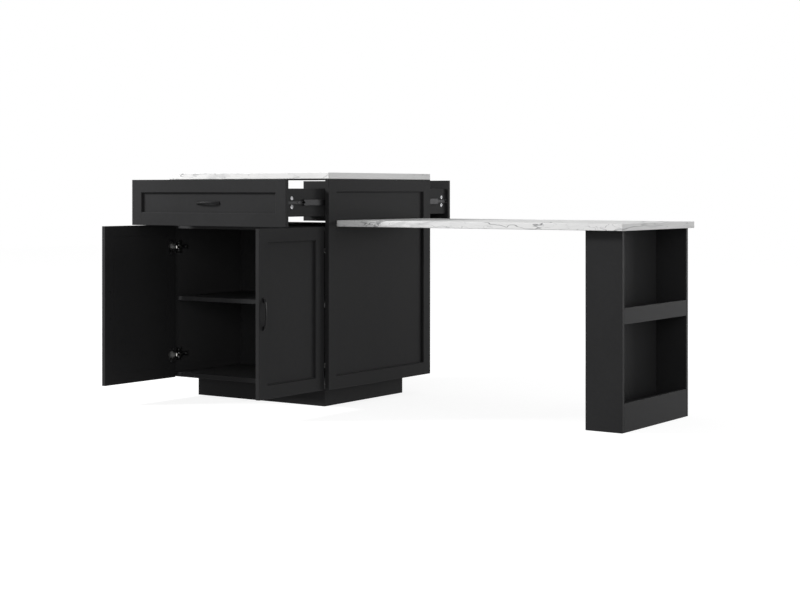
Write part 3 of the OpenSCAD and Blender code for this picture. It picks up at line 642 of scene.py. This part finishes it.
def make_lamp(name, place, aim, width, height, power):
    """A soft rectangular lamp that looks at a point."""
    data = bpy.data.lights.new(name, "AREA")
    data.shape = "RECTANGLE"
    data.size = width
    data.size_y = height
    data.energy = power
    lamp = bpy.data.objects.new(name, data)
    lamp.location = place
    lamp.rotation_euler = (Vector(aim) - Vector(place)).to_track_quat("-Z", "Y").to_euler()
    bpy.context.scene.collection.objects.link(lamp)


# Handles

BAR_THICK = 4.5 * MM
BAR_ROUND = 2.1 * MM
FOOT_LENGTH = 17.0 * MM
FOOT_STUB = 0.5 * MM
BACK_FACING = 0.5
END_OUT = 8.5 * MM
TIP_OUT = 2.6 * MM
THIN_SHARE = 0.6
WAIST = 0.74
ARCH_POWER = 2.2
BAR_STEPS = 7
FOOT_STEPS = 6
BOW_SHARP = 50


def bow_stations(length):
    """Places along a bow: even along the bar, and closer towards the tips."""
    foot_in = length / 2 - FOOT_LENGTH
    bar = [foot_in * i / BAR_STEPS for i in range(BAR_STEPS + 1)]
    foot = [math.sin(math.pi / 2 * i / FOOT_STEPS) for i in range(1, FOOT_STEPS + 1)]
    half = bar + [foot_in + FOOT_LENGTH * share for share in foot]
    return [-x for x in reversed(half[1:])] + half


def make_bow(length, out, width):
    """A cast bow handle on y = 0: a rounded arched bar, slimmer in its middle, whose ends slope
    down over two solid feet."""
    foot_in = length / 2 - FOOT_LENGTH
    places = bow_stations(length)

    def outer(x):
        share = abs(2 * x / length)
        slope = out * max(0.0, 1 - share ** ARCH_POWER) ** (1 / ARCH_POWER)
        arch = out - (out - END_OUT) * share ** 2
        return max(min(slope, arch), TIP_OUT)

    def thick(x):
        return min(BAR_THICK, THIN_SHARE * outer(x))

    def middle(x):
        return thick(x) / 2 - outer(x)

    def breadth(x):
        return width * (WAIST + (1 - WAIST) * min(1.0, abs(x) / foot_in) ** 2)

    clear()
    bpy.ops.mesh.primitive_plane_add(size=1, location=(0, 0, 0), rotation=(0, math.pi / 2, 0))
    bow = bpy.context.object
    settle(bow)
    edit()
    x = places[0]
    resize((1, BAR_THICK, width))
    bpy.ops.mesh.bevel(offset=BAR_ROUND, segments=3, affect="VERTICES")
    resize((1, thick(x) / BAR_THICK, breadth(x) / width))
    bpy.ops.transform.translate(value=(x, middle(x), 0))
    for last, x in zip(places, places[1:]):
        extrude(x - last, middle(x) - middle(last))
        resize((1, thick(x) / thick(last), breadth(x) / breadth(last)), (x, middle(x), 0))
    face_outwards()
    done()
    pick(bow, lambda f: f.normal.y > BACK_FACING and abs(f.center.x) > foot_in)
    extrude(y=FOOT_STUB)
    resize((1, 0, 1))
    face_outwards()
    done()
    smooth(bow, BOW_SHARP)
    return bow


def make_handles():
    """Models one bow and puts a copy on each front."""
    low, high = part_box("front_drawer_handle")
    bow = make_bow(high.x - low.x, high.y - low.y, high.z - low.z)
    upright = Matrix.Rotation(math.pi / 2, 4, "Y")
    for end in ("front", "rear"):
        name = end + "_drawer_handle"
        low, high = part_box(name)
        foot = high.y if end == "front" else low.y
        place = Matrix.Translation(((low.x + high.x) / 2, foot, (low.z + high.z) / 2))
        turn = UNMOVED if end == "front" else HALF_TURN
        dress(copy_of(bow, place @ turn, name + "_bow"), name)
    for side in ("left", "right"):
        name = side + "_door_handle"
        shut = swing_of(side)
        low, high = box_of([p for solid in solids(name, shut) for p in solid])
        place = Matrix.Translation(((low.x + high.x) / 2, high.y, (low.z + high.z) / 2))
        dress(copy_of(bow, shut @ place @ upright, name + "_bow"), name)
    remove(bow)


# Screws, each with a pan head, a cross recess and a pointed shank. A point belongs to the head
# where it lies further from the axis than HEAD_OUT of the head's diameter. The head's underside
# lies within UNDERSIDE of its thickness from the seat.

HEAD_SIDES = 24
RIM = 0.45 * MM
RIM_SHARE = 0.4
SHANK_D = 3.8 * MM
POINT_SHARE = 0.15
HEAD_OUT = 0.45
UNDERSIDE = 0.05
WEDGE_TAPER = 0.45
SAME_HEIGHT = 0.01 * MM

# The reach, width and depth of a cross recess, as shares of the head's diameter and thickness
# on a screw, and of the disc's radius and depth on a cam
SCREW_CROSS = (0.27, 0.13, 0.75)
CAM_CROSS = (0.5, 0.17, 0.25)


def cut_cross(piece, arm, wide, deep, top):
    """Cuts a cross recess into a piece with two crossing wedges."""
    wedges = []
    for turn in (0, math.pi / 2):
        clear()
        bpy.ops.mesh.primitive_cube_add(size=1, location=(0, 0, top), rotation=(0, 0, turn))
        wedge = bpy.context.object
        wedge.scale = (2 * arm, wide, 2 * deep)
        settle(wedge)
        pick(wedge, lambda v: v.co.z < top, "vertices")
        resize((WEDGE_TAPER, WEDGE_TAPER, 1), (0, 0, top - deep))
        done()
        wedges.append(wedge)
    for wedge in wedges:
        apply_modifier(piece, "BOOLEAN", object=wedge, operation="DIFFERENCE", solver="EXACT")
        remove(wedge)


def on_rim(piece, edge, height):
    ends = [piece.data.vertices[i].co.z for i in edge.vertices]
    return all(abs(z - height) < SAME_HEIGHT for z in ends)


def make_screw(head_d, head_t, shank_l):
    """A screw along -Z with its head on z = 0."""
    clear()
    bpy.ops.mesh.primitive_cylinder_add(
        vertices=HEAD_SIDES, radius=head_d / 2, depth=head_t, location=(0, 0, head_t / 2)
    )
    screw = bpy.context.object
    settle(screw)
    pick(screw, lambda e: on_rim(screw, e, head_t), "edges")
    bpy.ops.mesh.bevel(offset=min(RIM, head_t * RIM_SHARE), segments=3)
    done()
    reach, wide, deep = SCREW_CROSS
    cut_cross(screw, head_d * reach, head_d * wide, head_t * deep, head_t)
    pick(screw, lambda f: f.normal.z < -FACING and f.center.z < head_t * UNDERSIDE)
    bpy.ops.mesh.inset(thickness=(head_d - SHANK_D) / 2)
    tip = min(SHANK_D, shank_l / 3)
    extrude(z=tip - shank_l)
    extrude(z=-tip)
    resize((POINT_SHARE, POINT_SHARE, 1), (0, 0, -shank_l))
    done()
    smooth(screw)
    return screw


def screw_frame(points, head_d):
    """Where a screw sits: its axis and the seat of its head, and its head and shank lengths."""
    low, high = box_of(points)
    size = high - low
    axis = min(range(3), key=lambda a: abs(size[(a + 1) % 3] - size[(a + 2) % 3]))
    centre = (low + high) / 2

    def off_axis(p):
        return math.dist(p, centre + along(axis, p[axis] - centre[axis]))

    head = [p[axis] for p in points if off_axis(p) > head_d * HEAD_OUT]
    towards = 1 if max(head) > centre[axis] else -1
    seat = min(head) if towards > 0 else max(head)
    shank = (seat - low[axis]) if towards > 0 else (high[axis] - seat)
    place = centre + along(axis, seat - centre[axis])
    turn = Vector((0, 0, 1)).rotation_difference(along(axis, towards)).to_matrix().to_4x4()
    return Matrix.Translation(place) @ turn, max(head) - min(head), shank


def make_screws(node, shut=UNMOVED, finish=None):
    """Puts a modelled screw in the place of each screw of a node."""
    models, pieces = {}, []
    for points in solids(node, shut):
        low, high = box_of(points)
        head_d = sorted(high - low)[1]
        place, head_t, shank_l = screw_frame(points, head_d)
        key = (round(head_t / MM, 1), round(shank_l / MM, 1))
        if key not in models:
            models[key] = make_screw(head_d, head_t, shank_l)
        pieces.append(copy_of(models[key], shut @ place))
    remove(*models.values())
    dress(joined(node + "_crossed", pieces), node, finish)


# Cam fittings: a zinc disc with a raised rim and a cross, and the bolt it draws in

CAM_SIDES = 32
CAM_RIM = 0.16
CAM_SUNK = 0.5 * MM
CAM_EDGE = 0.25 * MM
BOLT_SIDES = 20
BOLT_NECK = 0.3
BOLT_HOLLOW = 0.4
BOLT_EDGE = 0.2 * MM
BOLT_SLIM = 1.3


def make_cam(radius, deep):
    """A disc along -Z with its face on z = 0."""
    clear()
    bpy.ops.mesh.primitive_cylinder_add(
        vertices=CAM_SIDES, radius=radius, depth=deep, location=(0, 0, -deep / 2)
    )
    cam = bpy.context.object
    settle(cam)
    pick(cam, lambda f: f.normal.z > FACING)
    bpy.ops.mesh.inset(thickness=radius * CAM_RIM)
    extrude(z=-CAM_SUNK)
    done()
    reach, wide, share = CAM_CROSS
    cut_cross(cam, radius * reach, radius * wide, deep * share, -CAM_SUNK)
    round_edges(cam, CAM_EDGE)
    smooth(cam)
    return cam


def make_bolt(radius, length):
    """A bolt along +Y from y = 0, with a hollow in the end that the cam grips."""
    clear()
    bpy.ops.mesh.primitive_cylinder_add(
        vertices=BOLT_SIDES, radius=radius, depth=length, location=(0, length / 2, 0),
        rotation=(math.pi / 2, 0, 0),
    )
    bolt = bpy.context.object
    settle(bolt)
    pick(bolt, lambda f: f.normal.y > FACING)
    bpy.ops.mesh.inset(thickness=radius * BOLT_NECK)
    extrude(y=-radius * BOLT_HOLLOW)
    done()
    round_edges(bolt, BOLT_EDGE)
    smooth(bolt)
    return bolt


def make_cams(end):
    """The cams and bolts of one drawer. A bolt is longer along Y than it is thick."""
    node = end + "_drawer_cams"
    pieces = []
    models = {}
    for points in solids(node):
        low, high = box_of(points)
        size = high - low
        middle = (low + high) / 2
        if size.y > size.z * BOLT_SLIM:
            if "bolt" not in models:
                models["bolt"] = make_bolt(size.z / 2, size.y)
            foot = low.y if end == "front" else high.y
            turn = UNMOVED if end == "front" else HALF_TURN
            place = Matrix.Translation((middle.x, foot, middle.z))
            pieces.append(copy_of(models["bolt"], place @ turn))
        else:
            if "cam" not in models:
                models["cam"] = make_cam(size.z / 2, size.x)
            out = 1 if middle.x > 0 else -1
            face = high.x if out > 0 else low.x
            turn = Matrix.Rotation(out * math.pi / 2, 4, "Y")
            place = Matrix.Translation((face, middle.y, middle.z))
            pieces.append(copy_of(models["cam"], place @ turn))
    remove(*models.values())
    dress(joined(node + "_turned", pieces), node, "cam_zinc")


# Pressed and drawn metal parts, and painted boards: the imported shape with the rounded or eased
# edges that its making leaves. A metal part has its node, the width in mm and the steps.

ROUNDED = [
    ("hinge_plates", 0.5, 2), ("hinge_arms", 0.7, 3), ("corner_brackets", 0.6, 3),
    ("slide_cabinet_members", 0.45, 2), ("table_bolts", 0.6, 2), ("shelf_pins", 0.5, 2),
    ("left_hinge_cups", 0.3, 2), ("right_hinge_cups", 0.3, 2),
    ("left_hinge_links", 0.6, 2), ("right_hinge_links", 0.6, 2),
    ("front_drawer_slides", 0.45, 2), ("rear_drawer_slides", 0.45, 2),
    ("front_slide_middles", 0.45, 2), ("rear_slide_middles", 0.45, 2),
]
DULL = ["hinge_plates", "hinge_arms", "left_hinge_cups", "right_hinge_cups"]
BOARDS = [
    "front_drawer_frame", "rear_drawer_frame", "left_door_frame", "right_door_frame",
    "left_side_frame", "right_side_frame", "leg_side_boards", "leg_shelf_lip", "leg_kick_board",
    "plinth_front", "plinth_sides", "plinth_back", "leg_back_panel",
]
EASED = 0.6 * MM


def make_softened(node, width, segments=2):
    """A merged copy of a node's own mesh with softer edges takes the node's place."""
    piece = welded(node)
    round_edges(piece, width, segments)
    smooth(piece)
    keep_flats(piece)
    dress(piece, node, "dull_nickel" if node in DULL else None)


def make_fittings():
    """Everything but the handles: softened metal and boards, then cams and screws."""
    for name, width, segments in ROUNDED:
        make_softened(name, width * MM, segments)
    for name in BOARDS:
        make_softened(name, EASED)
    for end in ("front", "rear"):
        make_cams(end)
        make_screws(end + "_drawer_screws", finish="black_screw")
    for side in ("left", "right"):
        make_screws(side + "_door_screws", swing_of(side), "black_screw")
    make_screws("wood_screws")


bpy.context.scene.view_settings.view_transform = "Standard"
make_camera()
make_world()
for lamp_values in LAMPS:
    make_lamp(*lamp_values)
make_floor()
for name, piece in nodes.items():
    paint(piece, slot_of(name))
make_handles()
make_fittings()
